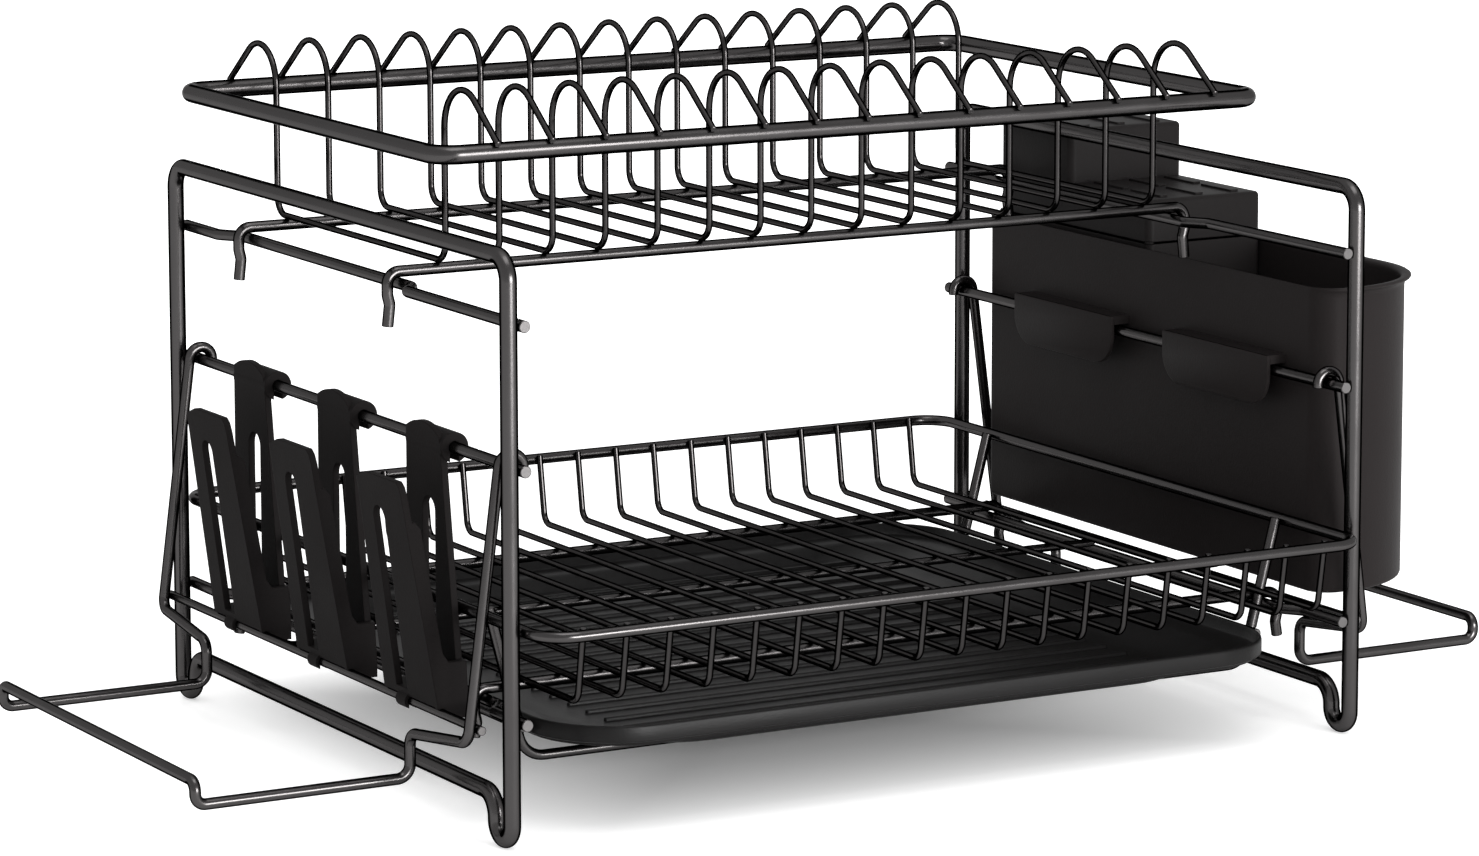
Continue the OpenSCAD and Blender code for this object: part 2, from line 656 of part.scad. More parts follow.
module drip_tray() {
  w = tray_wall;
  xe = tray_x - tray_end_inset;
  rb = tray_corner - 6;
  color("#3f3e3d") translate([0, y_mid, 0]) union() {
    difference() {
      union() {
        translate([0, 0, tray_rim_z]) linear_extrude(tray_rim)
          round_plate([-tray_x, -tray_y], [tray_x, tray_y], tray_corner);
        sloped_dish(tray_floor_x, xe, tray_body_y, rb, tray_base_z, tray_rim_z + 0.5);
        for (sx = [-1, 1])
          for (sy = [-1, 1])
            translate([sx * (tray_floor_x - 22), sy * cradle_wire_y, tray_base_z - tray_foot])
              translate([-18, -9, 0]) cube([36, 18, tray_foot + 0.5]);
      }
      translate([0, 0, tray_rim_z + w]) linear_extrude(tray_rim)
        round_plate([-tray_x + w, -tray_y + w], [tray_x - w, tray_y - w], tray_corner - w);
      sloped_dish(tray_floor_x - w, xe - w, tray_body_y - w, rb - w, tray_base_z + w, tray_rim_z + w + 0.5);
    }
    for (i = [0 : rib_count - 1])
      translate([-tray_floor_x + 8, (i - (rib_count - 1) / 2) * rib_pitch - rib_width / 2, tray_base_z + w - 0.5])
        cube([2 * tray_floor_x - 16, rib_width, rib_height + 0.5]);
  }
}

// ---- Side racks ----

// One wire: hook, leg, arm, outer bar, arm, leg, hook
module rack_wire_shape(s) {
  half = [[rack_in_x, rack_hook_y, mid_cross_z - 1.5], [rack_in_x, rack_hook_y, rack_peak_z],
    [rack_knee_x, rack_hook_y, rack_knee_z],
    [rack_arm_x, rack_arm_y, rack_knee_z - rack_jog_drop], [rack_arm_x, rack_arm_y, rack_arm_z],
    [rack_end_x, rack_arm_y, rack_arm_z], [rack_end_x, rack_arm_y, rack_arm_z + rack_step]];
  p = concat([for (i = [0 : 6]) [half[i][0], -half[i][1], half[i][2]]], [for (i = [6 : -1 : 0]) half[i]]);
  e = rack_step / 2 - 0.4;
  r = [hook_round, rack_bend, rack_bend, rack_bend, e, e];
  on_side(s) bent_wire(p, concat(r, [for (i = [5 : -1 : 0]) r[i]]), rack_wire);
}

module rack_rod(s) {
  on_side(s) stick([rod_x, -rod_y, rod_z], [rod_x, rod_y, rod_z], rod_wire);
}

module rack_wire_left() { color("#3a3a3c") rack_wire_shape(-1); }
module rack_wire_right() { color("#3a3a3c") rack_wire_shape(1); }
module rack_rod_left() { color("#4d4d50") rack_rod(-1); }
module rack_rod_right() { color("#4d4d50") rack_rod(1); }

// ---- Cup holders ----

// Prism from an outline in y and z, between two x
module slab_x(x0, x1) {
  multmatrix([[0, 0, 1, x0], [1, 0, 0, 0], [0, 1, 0, 0], [0, 0, 0, 1]]) linear_extrude(x1 - x0) children();
}

// Prism from an outline in x and z, between two y
module slab_y(y0, y1) {
  multmatrix([[1, 0, 0, 0], [0, 0, 1, y0], [0, 1, 0, 0], [0, 0, 0, 1]]) linear_extrude(y1 - y0) children();
}

// Upright slot with a round top, in y and z
module slot_shape(y, w, z0, z1) {
  translate([y - w / 2, z0]) square([w, z1 - z0 - w / 2]);
  translate([y, z1 - w / 2]) circle(d = w);
}

// Outer face of a blade at the height z
function blade_at(z) = blade_foot_x + (z - holder_floor_z) * blade_slope;

// Strap inside, slanting blade outside, floor and low front wall between them.
// A clip closes round the middle crossbar and a narrow one round the rack's lower rod.
module cup_holder(back) {
  z0 = holder_low_z;
  zt = mid_cross_z + holder_rise;
  fw = holder_width;
  bf = blade_flange;
  neck = strap_width - 1;
  hip = fw - 6;
  translate([0, y_mid + back, 0]) mirror([1, 0, 0]) difference() {
    union() {
      // Strap
      slab_x(strap_x, strap_x + holder_wall) intersection() {
        polygon([[0, z0], [0, zt + 1], [-neck + 3, zt + 1], [-neck, mid_cross_z - 1.5], [-hip, sill_z],
          [-fw + 1.8, sill_z], [-fw, z0 + 5], [-fw + 3, z0]]);
        union() {
          translate([-fw - 1, z0 - 1]) square([fw + 2, zt - strap_lobe * 0.2 - z0]);
          translate([-strap_width / 2 + 2, zt - strap_lobe]) circle(r = strap_lobe);
        }
      }
      // Upper clip
      slab_y(-strap_width, 0) translate([cross_x, mid_cross_z]) circle(d = clip_round);
      // Blade
      intersection() {
        slab_y(-fw, 0) polygon([[blade_foot_x, holder_floor_z], [blade_top_x, blade_top_z],
          [blade_top_x - blade_thick, blade_top_z], [blade_foot_x - blade_thick, holder_floor_z]]);
        slab_x(strap_x, blade_top_x + 5) polygon([[0, z0], [0, blade_top_z - 3.4], [-11, blade_top_z + 0.5],
          [-fw + 13, blade_top_z + 0.5], [-fw + 10.2, blade_top_z - 2], [-fw + 9, blade_top_z - 6],
          [-fw + 8, wall_top_z], [-fw, holder_floor_z + 1], [-fw, z0]]);
      }
      // Front wall: a flange along the blade's front edge, over a low sill
      intersection() {
        slab_y(-fw, -fw + 14) polygon([[strap_x, z0], [strap_x, sill_z], [blade_at(sill_z) - bf - 2, sill_z],
          [blade_at(sill_z + 4) - bf, sill_z + 4], [blade_at(wall_top_z - 3) - bf, wall_top_z - 3],
          [blade_at(wall_top_z) - bf + 2, wall_top_z], [blade_at(wall_top_z) - 0.8, wall_top_z],
          [blade_foot_x, holder_floor_z], [blade_foot_x - 2.5, z0]]);
        slab_x(strap_x, blade_top_x + 5) polygon([[-fw, z0], [-fw, holder_floor_z + 1], [-fw + 8, wall_top_z],
          [-fw + 8 + holder_wall, wall_top_z], [-fw + holder_wall, holder_floor_z + 1], [-fw + holder_wall, z0]]);
      }
      // Floor
      translate([strap_x, -fw + 0.5, holder_floor_z]) cube([blade_foot_x - strap_x - 0.5, fw - 0.5, holder_wall]);
      // Lower clip
      slab_y(-strap_slot - foot_clip - 2, -strap_slot - 2) translate([rod_x, rod_z]) circle(r = foot_clip_round);
    }
    // Bores round the crossbar and the rod, each with its mouth
    slab_y(-fw - 1, 1) translate([cross_x, mid_cross_z]) circle(d = cross_wire + 2 * clip_play);
    slab_y(-fw - 1, 1) translate([cross_x - cross_wire * 0.4, mid_cross_z - clip_round])
      square([cross_wire * 0.8, clip_round]);
    slab_y(-fw - 1, 1) translate([rod_x, rod_z]) circle(d = rod_wire + 2 * clip_play);
    slab_y(-fw - 1, 1) translate([rod_x - rod_wire * 0.4, rod_z - foot_clip_round - 1])
      square([rod_wire * 0.8, foot_clip_round + 1]);
    // Slots in the strap and the blade
    slab_x(strap_x - 1, strap_x + holder_wall + 1)
      slot_shape(-21, strap_slot, sill_z - 4.5, mid_cross_z - 22.1);
    slab_x(strap_x + holder_wall + 1, blade_top_x + 5)
      slot_shape(-17.7, blade_slot, holder_floor_z + holder_wall, blade_top_z - 13.4);
  }
}

module cup_holder_back() { color("#2d2b2b") cup_holder(holder_back); }
module cup_holder_middle() { color("#2d2b2b") cup_holder(holder_back - holder_pitch); }
module cup_holder_front() { color("#2d2b2b") cup_holder(holder_back - 2 * holder_pitch); }

// ---- Cutlery box ----

// Quarter disc of radius r round the centre c, towards sx and sy
module quarter(c, r, sx, sy) {
  intersection() {
    translate(c) circle(r = r);
    translate([c[0] - (sx < 0 ? r : 0), c[1] - (sy < 0 ? r : 0)]) square([r, r]);
  }
}

// Plan of the box, grown by g: its outer front corner is large, the rear ones are small
module box_plan(g) {
  x0 = box_x0 - g;
  x1 = box_x1 + g;
  y0 = box_y0 - g;
  y1 = box_y1 + g;
  rs = box_corner + g;
  rf = nose_round + g;
  rl = box_round + g;
  union() {
    translate([x0 + rf, y0]) square([x1 - rl - x0 - rf, rl]);
    translate([x0, y0 + rf]) square([x1 - rl - x0, y1 - y0 - rf - rs]);
    translate([x0 + rs, y0 + rl]) square([x1 - x0 - 2 * rs, y1 - y0 - rl]);
    translate([x1 - rl, y0 + rl]) square([rl, y1 - y0 - rl - rs]);
    quarter([x1 - rl, y0 + rl], rl, 1, -1);
    quarter([x0 + rf, y0 + rf], rf, -1, -1);
    translate([x0 + rs, y1 - rs]) circle(r = rs);
    translate([x1 - rs, y1 - rs]) circle(r = rs);
  }
}

// Clip plate that hooks over the middle crossbar
module hanging_clip(y) {
  z0 = mid_cross_z - hanger_drop;
  z1 = hang_z + hanger_top;
  slab_x(plate_x0, plate_x1) union() {
    translate([y, z0 + hanger_round]) square([hanger_clip, z1 - z0 - hanger_round]);
    translate([y + hanger_round, z0]) square([hanger_clip - 2 * hanger_round, z1 - z0]);
    quarter([y + hanger_round, z0 + hanger_round], hanger_round, -1, -1);
    quarter([y + hanger_clip - hanger_round, z0 + hanger_round], hanger_round, 1, -1);
  }
  translate([plate_x0, y, hang_z]) cube([box_x0 + 0.5 - plate_x0, hanger_clip, hanger_top]);
}

module cutlery_box() {
  x_mid = (box_x0 + box_x1) / 2;
  color("#2d2b2b") translate([0, y_mid, 0]) difference() {
    union() {
      translate([0, 0, box_bottom]) linear_extrude(box_top - box_bottom) box_plan(0);
      intersection() {
        translate([0, 0, box_top - flange_high]) linear_extrude(flange_high) box_plan(flange_out);
        translate([box_x0, 2 * box_y0, box_top - 2 * flange_high])
          cube([2 * box_width, box_y1 - 2 * box_y0, 3 * flange_high]);
      }
      hanging_clip(hanger_clip_y);
      hanging_clip(hanger_clip_y - hanger_clip_pitch);
    }
    difference() {
      translate([0, 0, box_bottom + box_wall]) linear_extrude(box_top - box_bottom) box_plan(-box_wall);
      translate([box_x0, -divider_y - box_wall / 2, box_bottom])
        cube([box_width, box_wall, box_top - divider_drop - box_bottom]);
    }
    for (y = [-divider_y - 24, -divider_y + 24, -8, 40, 90])
      translate([x_mid - drain_length / 2, y - drain_width / 2, box_bottom - 1])
        cube([drain_length, drain_width, box_wall + 2]);
  }
}

// ---- Knife block ----

// Hollow two-tier insert, open below, with knife slots through both tops
module knife_block() {
  z0 = box_top - block_depth;
  zl = box_top + tier_low;
  zh = box_top + tier_high;
  w = block_wall;
  r = block_corner;
  y_low = (block_front + block_step) / 2;
  y_high = (block_step + block_y1) / 2;
  color("#262525") translate([0, y_mid, 0]) difference() {
    union() {
      translate([0, 0, z0]) linear_extrude(zl - z0) round_plate([block_x0, block_front], [block_x1, block_y1], r);
      translate([0, 0, z0]) linear_extrude(zh - z0) round_plate([block_x0, block_step], [block_x1, block_y1], r);
      translate([0, 0, flange_z]) linear_extrude(block_flange)
        round_plate([block_x0, block_front], [box_x1 - 0.5, box_y1 - 0.5], r);
    }
    translate([0, 0, z0 - 1]) linear_extrude(zl - z0 + 1 - w)
      round_plate([block_x0 + w, block_front + w], [block_x1 - w, block_y1 - w], r - w + 0.2);
    translate([0, 0, z0 - 1]) linear_extrude(zh - z0 + 1 - w)
      round_plate([block_x0 + w, block_step + w], [block_x1 - w, block_y1 - w], r - w + 0.2);
    for (i = [0 : slot_cols - 1])
      for (j = [-0.5, 0.5])
        translate([block_mid_x + (i - (slot_cols - 1) / 2) * slot_pitch - slot_width / 2, -slot_length / 2, 0]) {
          translate([0, y_low + j * slot_step, zl - w - 1]) cube([slot_width, slot_length, w + 2]);
          translate([0, y_high + j * (slot_step - 4), zh - w - 1]) cube([slot_width, slot_length, w + 2]);
        }
  }
}

side_frame_left();
side_frame_right();
crossbar_upper_left();
crossbar_upper_right();
crossbar_mid_left();
crossbar_mid_right();
crossbar_lower_left();
crossbar_lower_right();
upper_rim();
upper_runner_front();
upper_runner_back();
plate_loops();
lower_rim();
lower_runner_front();
lower_runner_middle();
lower_runner_back();
floor_wires();
hanger_front_left();
hanger_front_right();
hanger_back_left();
hanger_back_right();
cradle_rod_left();
cradle_rod_right();
cradle_wire_front();
cradle_wire_back();
drip_tray();
rack_wire_left();
rack_rod_left();
rack_wire_right();
rack_rod_right();
cup_holder_back();
cup_holder_middle();
cup_holder_front();
cutlery_box();
knife_block();
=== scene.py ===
# Two-tier dish drying rack: a stand of bent wire, two wire baskets that hang in it, a folding
# wire rack at each end, three cup holders, a drip tray, a cutlery box and a knife block.
import math

import bpy
import numpy as np
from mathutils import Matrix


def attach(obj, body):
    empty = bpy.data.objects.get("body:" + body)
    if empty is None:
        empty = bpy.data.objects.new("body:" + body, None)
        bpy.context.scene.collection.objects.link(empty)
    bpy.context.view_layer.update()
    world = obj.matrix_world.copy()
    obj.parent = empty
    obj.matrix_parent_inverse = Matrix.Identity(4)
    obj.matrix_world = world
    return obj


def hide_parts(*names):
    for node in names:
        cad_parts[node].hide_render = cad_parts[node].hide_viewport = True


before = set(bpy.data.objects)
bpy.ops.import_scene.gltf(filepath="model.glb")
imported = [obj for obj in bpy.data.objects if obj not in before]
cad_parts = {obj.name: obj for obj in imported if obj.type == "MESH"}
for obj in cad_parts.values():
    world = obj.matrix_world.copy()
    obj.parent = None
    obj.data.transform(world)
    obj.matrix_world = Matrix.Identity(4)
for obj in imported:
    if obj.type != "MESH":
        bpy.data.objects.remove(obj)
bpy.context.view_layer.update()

# ---------------------------------------------------------------- Camera
# A long lens stands in front of the rack and to its left, a little above the upper rim.
# It looks slightly down, and its picture is slid so that the whole rack is in it.
# Downward tilt, and turn about the upright from looking straight back, in radians.
DOWN = 0.153
TURN = -0.521
lens = bpy.data.cameras.new("camera")
lens.lens = 139.9
lens.sensor_width = 36
lens.shift_x = -0.0402
lens.shift_y = -0.0943
lens.clip_end = 60
camera = bpy.data.objects.new("camera", lens)
camera.location = (-1.2543, -2.2198, 0.5897)
camera.rotation_euler = (math.pi / 2 - DOWN, 0, TURN)
bpy.context.scene.collection.objects.link(camera)
bpy.context.scene.camera = camera
bpy.context.scene.view_settings.view_transform = "Standard"

# ---------------------------------------------------------------- Side frames
# Each end of the stand is one closed ring of 7.5 mm steel wire: a top bar, two posts, two
# narrow U feet and a bottom rail. It is bent, butt welded, and coated with the rest.
# Lengths below are in mm. The posts' middle lies a little behind the origin.
MM = 0.001
POSTS_MIDDLE = 3.4
FRAME_WIRE = 7.5
FRAME_X = 210.0
POST_Y = 166.5
FRAME_TOP = 246.9
FOOT_WIDTH = 14
RAIL_Z = 21.3


def bent_line(corners, radii, closed=False, step=7.5):
    """Centre line of bent wire, in mm. The arc at a corner starts r*tan(turn/2) before it, and its
    points are middle + r*(cos a * outward + sin a * ahead), a running from 0 to the turn."""
    p = np.array(corners, float)
    n = len(p)
    out = [] if closed else [p[:1]]
    turned = range(n) if closed else range(1, n - 1)
    for i, r in zip(turned, radii):
        u = p[i] - p[i - 1]
        v = p[(i + 1) % n] - p[i]
        u, v = u / np.linalg.norm(u), v / np.linalg.norm(v)
        t = math.acos(max(-1.0, min(1.0, float(u @ v))))
        inward = (v - u * math.cos(t)) / math.sin(t)
        middle = p[i] - u * r * math.tan(t / 2) + inward * r
        a = np.linspace(0, t, max(3, math.ceil(math.degrees(t) / step) + 1))[:, None]
        out.append(middle + r * (-np.cos(a) * inward + np.sin(a) * u))
    if not closed:
        out.append(p[-1:])
    line = np.concatenate(out)
    return line[np.linalg.norm(line - np.roll(line, 1, 0), axis=1) > 1e-3]


def carried(p, outlines, closed=False):
    """One outline at each point of a line. Point (i, k) = line i + outline x * side i + outline y * up i,
    where side and up turn with the line no more than the line itself turns."""
    ahead = np.roll(p, -1, 0) - p
    ahead /= np.linalg.norm(ahead, axis=1)[:, None]
    back = np.roll(ahead, 1, 0)
    if not closed:
        ahead[-1] = back[-1]
        back[0] = ahead[0]
    along = ahead + back
    along /= np.linalg.norm(along, axis=1)[:, None]
    first = np.eye(3)[int(np.argmin(np.abs(along[0])))]
    side = np.empty_like(p)
    side[0] = first - (first @ along[0]) * along[0]
    for i in range(1, len(p)):
        side[i] = side[i - 1] - (side[i - 1] @ along[i]) * along[i]
        side[i] /= np.linalg.norm(side[i])
    side[0] /= np.linalg.norm(side[0])
    up = np.cross(along, side)
    return p[:, None] + outlines[..., :1] * side[:, None] + outlines[..., 1:] * up[:, None]


def skin(rows, cols, wrap_rows=False, start=0):
    """Quads between the points of a grid, row after row. Each row is a ring, and wrapped rows also
    join the last one to the first."""
    i = np.arange(rows if wrap_rows else rows - 1)[:, None]
    k = np.arange(cols)[None]
    j, m = (i + 1) % rows, (k + 1) % cols
    quads = np.stack([i * cols + k, i * cols + m, j * cols + m, j * cols + k], -1)
    return start + quads.reshape(-1, 4)


# Faces that meet at more than this angle keep a sharp edge between them.
SHARP = math.radians(42)


def piece(name, points, faces, material, body, replaced, flat=0, second=None, along=None):
    """A mesh from points in mm and lists of corners. The last faces, flat in number, are shaded flat
    and take the second material. The attribute along holds a wire's own direction at each point."""
    mesh = bpy.data.meshes.new(name)
    mesh.from_pydata((np.asarray(points, float) * MM).tolist(), [], [list(map(int, f)) for f in faces])
    smooth = np.ones(len(mesh.polygons), bool)
    mesh.materials.append(material)
    if flat:
        smooth[-flat:] = False
    if second is not None:
        mesh.materials.append(second)
        index = np.zeros(len(mesh.polygons), np.int32)
        index[-flat:] = 1
        mesh.polygons.foreach_set("material_index", index)
    mesh.polygons.foreach_set("use_smooth", smooth)
    if along is not None:
        mesh.attributes.new("along", "FLOAT_VECTOR", "POINT").data.foreach_set("vector", np.ravel(along))
    mesh.update()
    mesh.set_sharp_from_angle(angle=SHARP)
    made = bpy.data.objects.new(name, mesh)
    bpy.context.scene.collection.objects.link(made)
    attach(made, body)
    if replaced:
        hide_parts(*replaced)
    return made


def ring_of(thick, sides):
    """Round outline: (cos a, sin a) * thick / 2."""
    a = np.arange(sides) * (2 * math.pi / sides)
    return np.stack([np.cos(a), np.sin(a)], 1) * thick / 2


def wires(name, lines, thick, material, body, replaced, closed=False, sides=16, ends=None, chamfer=0.3):
    """Round wires along several lines, in one mesh. A cut end is a flat disc with a small chamfer."""
    points, faces, caps, ways, start = [], [], [], [], 0
    for line in lines:
        p = np.array(line, float)
        if not closed:
            for end, near in ((0, 1), (-1, -2)):
                w = p[near] - p[end]
                new = p[end] + w * min(0.5, chamfer / np.linalg.norm(w))
                p = np.insert(p, 1, new, 0) if end == 0 else np.insert(p, len(p) - 1, new, 0)
        size = np.ones(len(p))
        if not closed:
            size[0] = size[-1] = 1 - 2 * chamfer / thick
        grid = carried(p, ring_of(thick, sides)[None] * size[:, None, None], closed)
        n = len(p)
        way = np.roll(p, -1, 0) - np.roll(p, 1, 0) if closed else np.gradient(p, axis=0)
        ways.append(np.repeat(way / np.linalg.norm(way, axis=1)[:, None], sides, 0))
        points.append(grid.reshape(-1, 3))
        faces.append(skin(n, sides, wrap_rows=closed, start=start))
        if not closed:
            caps.append(start + np.arange(sides)[::-1])
            caps.append(start + (n - 1) * sides + np.arange(sides))
        start += n * sides
    quads = np.concatenate(faces).tolist()
    return piece(name, np.concatenate(points), quads + caps, material, body, replaced,
                 flat=len(caps), second=ends, along=np.concatenate(ways))


def linear(code):
    """sRGB hex to linear RGBA: ((c + 0.055) / 1.055) ** 2.4 above 0.04045, and c / 12.92 below."""
    c = np.array([int(code[i:i + 2], 16) for i in (1, 3, 5)]) / 255
    c = np.where(c > 0.04045, ((c + 0.055) / 1.055) ** 2.4, c / 12.92)
    return (*map(float, c), 1.0)


def add(tree, kind, inputs=None, **settings):
    """Adds one node with its settings. Its inputs are given as values or as other nodes' outputs."""
    new = tree.nodes.new(kind)
    for key, value in settings.items():
        setattr(new, key, value)
    for socket, value in (inputs or {}).items():
        if isinstance(value, bpy.types.NodeSocket):
            tree.links.new(value, new.inputs[socket])
        else:
            new.inputs[socket].default_value = value
    return new


def coated_steel(name, dark, light, rough, painted_edge_shade):
    """Steel wire with a baked gunmetal coat, whose metal flake mirrors dimly. Its colour and grazing tint are
    painted dark towards the wire's edges, by the viewing direction: painted shade that stands in for a dark
    surround mirrored there. The coat is glossier in patches of about 25 mm, and has a faint peel 1.5 mm
    across. Round the wire, the cosine is (normal . sight) / sqrt(1 - (along . sight) ** 2).
    Between the two values of the last argument, the coat's own tone and its paler grazing tone are both
    painted nearly black."""
    made = bpy.data.materials.new(name)
    made.use_nodes = True
    tree = made.node_tree
    shader = tree.nodes["Principled BSDF"]
    place = add(tree, "ShaderNodeTexCoord").outputs["Object"]
    patch = add(tree, "ShaderNodeTexNoise", {"Vector": place, "Scale": 40.0, "Detail": 3.0}).outputs["Fac"]
    peel = add(tree, "ShaderNodeTexNoise", {"Vector": place, "Scale": 650.0, "Detail": 2.0}).outputs["Fac"]
    tone = add(tree, "ShaderNodeMix", {"Factor": patch, 6: linear(dark), 7: linear(light)}, data_type="RGBA")
    gloss = add(tree, "ShaderNodeMapRange", {"Value": patch, "From Min": 0.3, "From Max": 0.7,
                                             "To Min": rough - 0.04, "To Max": rough + 0.05})
    bump = add(tree, "ShaderNodeBump", {"Height": peel, "Strength": 0.03, "Distance": 0.0004})
    turned = add(tree, "ShaderNodeLayerWeight", {"Blend": 0.5}).outputs["Facing"]
    turned = add(tree, "ShaderNodeMath", {0: 1.0, 1: turned}, operation="SUBTRACT").outputs[0]
    along = add(tree, "ShaderNodeAttribute", attribute_name="along").outputs["Vector"]
    along = add(tree, "ShaderNodeVectorTransform", {"Vector": along}, vector_type="VECTOR",
                convert_from="OBJECT", convert_to="WORLD").outputs[0]
    ahead = add(tree, "ShaderNodeLayerWeight", {"Blend": 0.5, "Normal": along}).outputs["Facing"]
    ahead = add(tree, "ShaderNodeMath", {0: 1.0, 1: ahead}, operation="SUBTRACT").outputs[0]
    across = add(tree, "ShaderNodeMath", {0: ahead, 1: ahead}, operation="MULTIPLY").outputs[0]
    across = add(tree, "ShaderNodeMath", {0: 1.001, 1: across}, operation="SUBTRACT").outputs[0]
    across = add(tree, "ShaderNodeMath", {0: across}, operation="SQRT").outputs[0]
    round_it = add(tree, "ShaderNodeMath", {0: turned, 1: across}, operation="DIVIDE").outputs[0]
    # Painted shade: towards the wire's edges, as seen, the colour and the grazing tint are mixed to near
    # black.
    rim = add(tree, "ShaderNodeMapRange", {"Value": round_it, "From Min": painted_edge_shade[0], "From Max": painted_edge_shade[1]},
              interpolation_type="SMOOTHSTEP").outputs[0]
    tone = add(tree, "ShaderNodeMix", {"Factor": rim, 6: tone.outputs[2], 7: linear("#020202")},
               data_type="RGBA")
    grazing_tint_painted_dark = add(tree, "ShaderNodeMix", {"Factor": rim, 6: linear("#c6c6c6"), 7: linear("#101010")},
                  data_type="RGBA")
    tree.links.new(tone.outputs[2], shader.inputs["Base Color"])
    tree.links.new(grazing_tint_painted_dark.outputs[2], shader.inputs["Specular Tint"])
    tree.links.new(gloss.outputs[0], shader.inputs["Roughness"])
    tree.links.new(bump.outputs[0], shader.inputs["Normal"])
    shader.inputs["Metallic"].default_value = 1.0
    return made


# Gunmetal coat over steel: a long soft highlight on each wire, between dark edges that are painted shade.
satin_coat = coated_steel("satin gunmetal coated steel", "#504e4e", "#575555", 0.22, (0.78, 0.52))
# The same coat on thin wire: darker, a tighter highlight, and painted dark edges (painted shade) over more of
# the width.
thin_coat = coated_steel("satin gunmetal coat on thin wire", "#3e3c3c", "#464444", 0.17, (0.97, 0.72))
# Sheared wire end, coated thinly: a paler, duller disc. No cosine reaches its edge values, so it gets no
# painted dark edge.
sheared_end = coated_steel("thinly coated wire end", "#636161", "#6e6c6c", 0.4, (-1.0, -2.0))

foot_y = POST_Y - FOOT_WIDTH
foot_z = FRAME_WIRE / 2
frame_corners = [(-POST_Y, FRAME_TOP), (-POST_Y, foot_z), (-foot_y, foot_z), (-foot_y, RAIL_Z),
                 (foot_y, RAIL_Z), (foot_y, foot_z), (POST_Y, foot_z), (POST_Y, FRAME_TOP)]
for side, sign in (("left", -1), ("right", 1)):
    corners = [(sign * FRAME_X, y + POSTS_MIDDLE, z) for y, z in frame_corners]
    line = bent_line(corners, [10, 7, 7, 10, 10, 7, 7, 10], closed=True, step=6)
    wires("side_frame_wire_" + side, [line], FRAME_WIRE, satin_coat, "frame", ["side_frame_" + side],
          closed=True, sides=28)

# ---------------------------------------------------------------- Crossbars
# Three 5.2 mm bars are welded inside each side frame. The upper and lower ones step inboard
# where a basket hooks over them, and the sheared ends stand a little past the posts.
CROSS_WIRE = 5.2
CROSS_X = 203.77
CROSS_END = 169.3
JOG_X = 196.67
UPPER_CROSS_Z = 218.5
MID_CROSS_Z = 158.5
LOWER_CROSS_Z = 52.6


def jogged(sign, z, y0, y1):
    """Bar along y that steps inboard over 10 mm at y0 and back at y1."""
    corners = [(CROSS_X, -CROSS_END, z), (CROSS_X, y0 - 10, z), (JOG_X, y0, z),
               (JOG_X, y1, z), (CROSS_X, y1 + 10, z), (CROSS_X, CROSS_END, z)]
    return bent_line([(sign * x, y + POSTS_MIDDLE, h) for x, y, h in corners], [5] * 4, step=8)


for side, sign in (("left", -1), ("right", 1)):
    straight = np.array([(sign * CROSS_X, y + POSTS_MIDDLE, MID_CROSS_Z) for y in (-CROSS_END, CROSS_END)])
    for level, line in (("upper", jogged(sign, UPPER_CROSS_Z, -50.3, 123.3)), ("mid", straight),
                        ("lower", jogged(sign, LOWER_CROSS_Z, -129.2, 129.2))):
        wires("crossbar_wire_%s_%s" % (level, side), [line], CROSS_WIRE, satin_coat, "frame",
              ["crossbar_%s_%s" % (level, side)], sides=20, ends=sheared_end)

# ---------------------------------------------------------------- Upper basket
# A thick 8.4 mm rim carries fifteen 3 mm plate loops, which are welded to two runners below.
# The runners' ends hook over the upper crossbars, so the basket lifts off.
UPPER_Y = POSTS_MIDDLE + 36.5
UPPER_RIM_WIRE = 8.4
UPPER_RIM_X = 205
UPPER_RIM_Y = 130.9
UPPER_RIM_Z = 280.1
UPPER_RUNNER_WIRE = 5.2
UPPER_RUNNER_Y = 76.3
UPPER_RUNNER_Z = 224.02
THIN_WIRE = 3.0
LOOP_COUNT = 15
LOOP_PITCH = 25.68
LOOP_Y = 85
LOOP_FLOOR_Z = 228.02
LOOP_CORNER_Z = 321.14
HOOK_KINK = 1.0


def hooked_runner(y, z, bend, drop):
    """Straight wire along x whose ends turn down over the crossbars, step inboard and flick out again."""
    x = JOG_X + bend + HOOK_KINK
    half = [(x, z), (x, z - bend - 4.5), (x - HOOK_KINK, z - bend - 8.5), (x + 0.1, z - bend - drop)]
    corners = [(-a, y, b) for a, b in half[::-1]] + [(a, y, b) for a, b in half]
    return bent_line(corners, [4, 4, bend, bend, 4, 4], step=7.5)


rim = bent_line([(sx * UPPER_RIM_X, sy * UPPER_RIM_Y + UPPER_Y, UPPER_RIM_Z)
                 for sx, sy in ((-1, -1), (1, -1), (1, 1), (-1, 1))], [11] * 4, closed=True, step=6)
wires("upper_rim_wire", [rim], UPPER_RIM_WIRE, satin_coat, "upper_basket", ["upper_rim"],
      closed=True, sides=28)
for where, sign in (("front", -1), ("back", 1)):
    line = hooked_runner(UPPER_Y + sign * UPPER_RUNNER_Y, UPPER_RUNNER_Z, 5.52, 18)
    wires("upper_runner_wire_" + where, [line], UPPER_RUNNER_WIRE, satin_coat, "upper_basket",
          ["upper_runner_" + where], sides=20, ends=sheared_end)
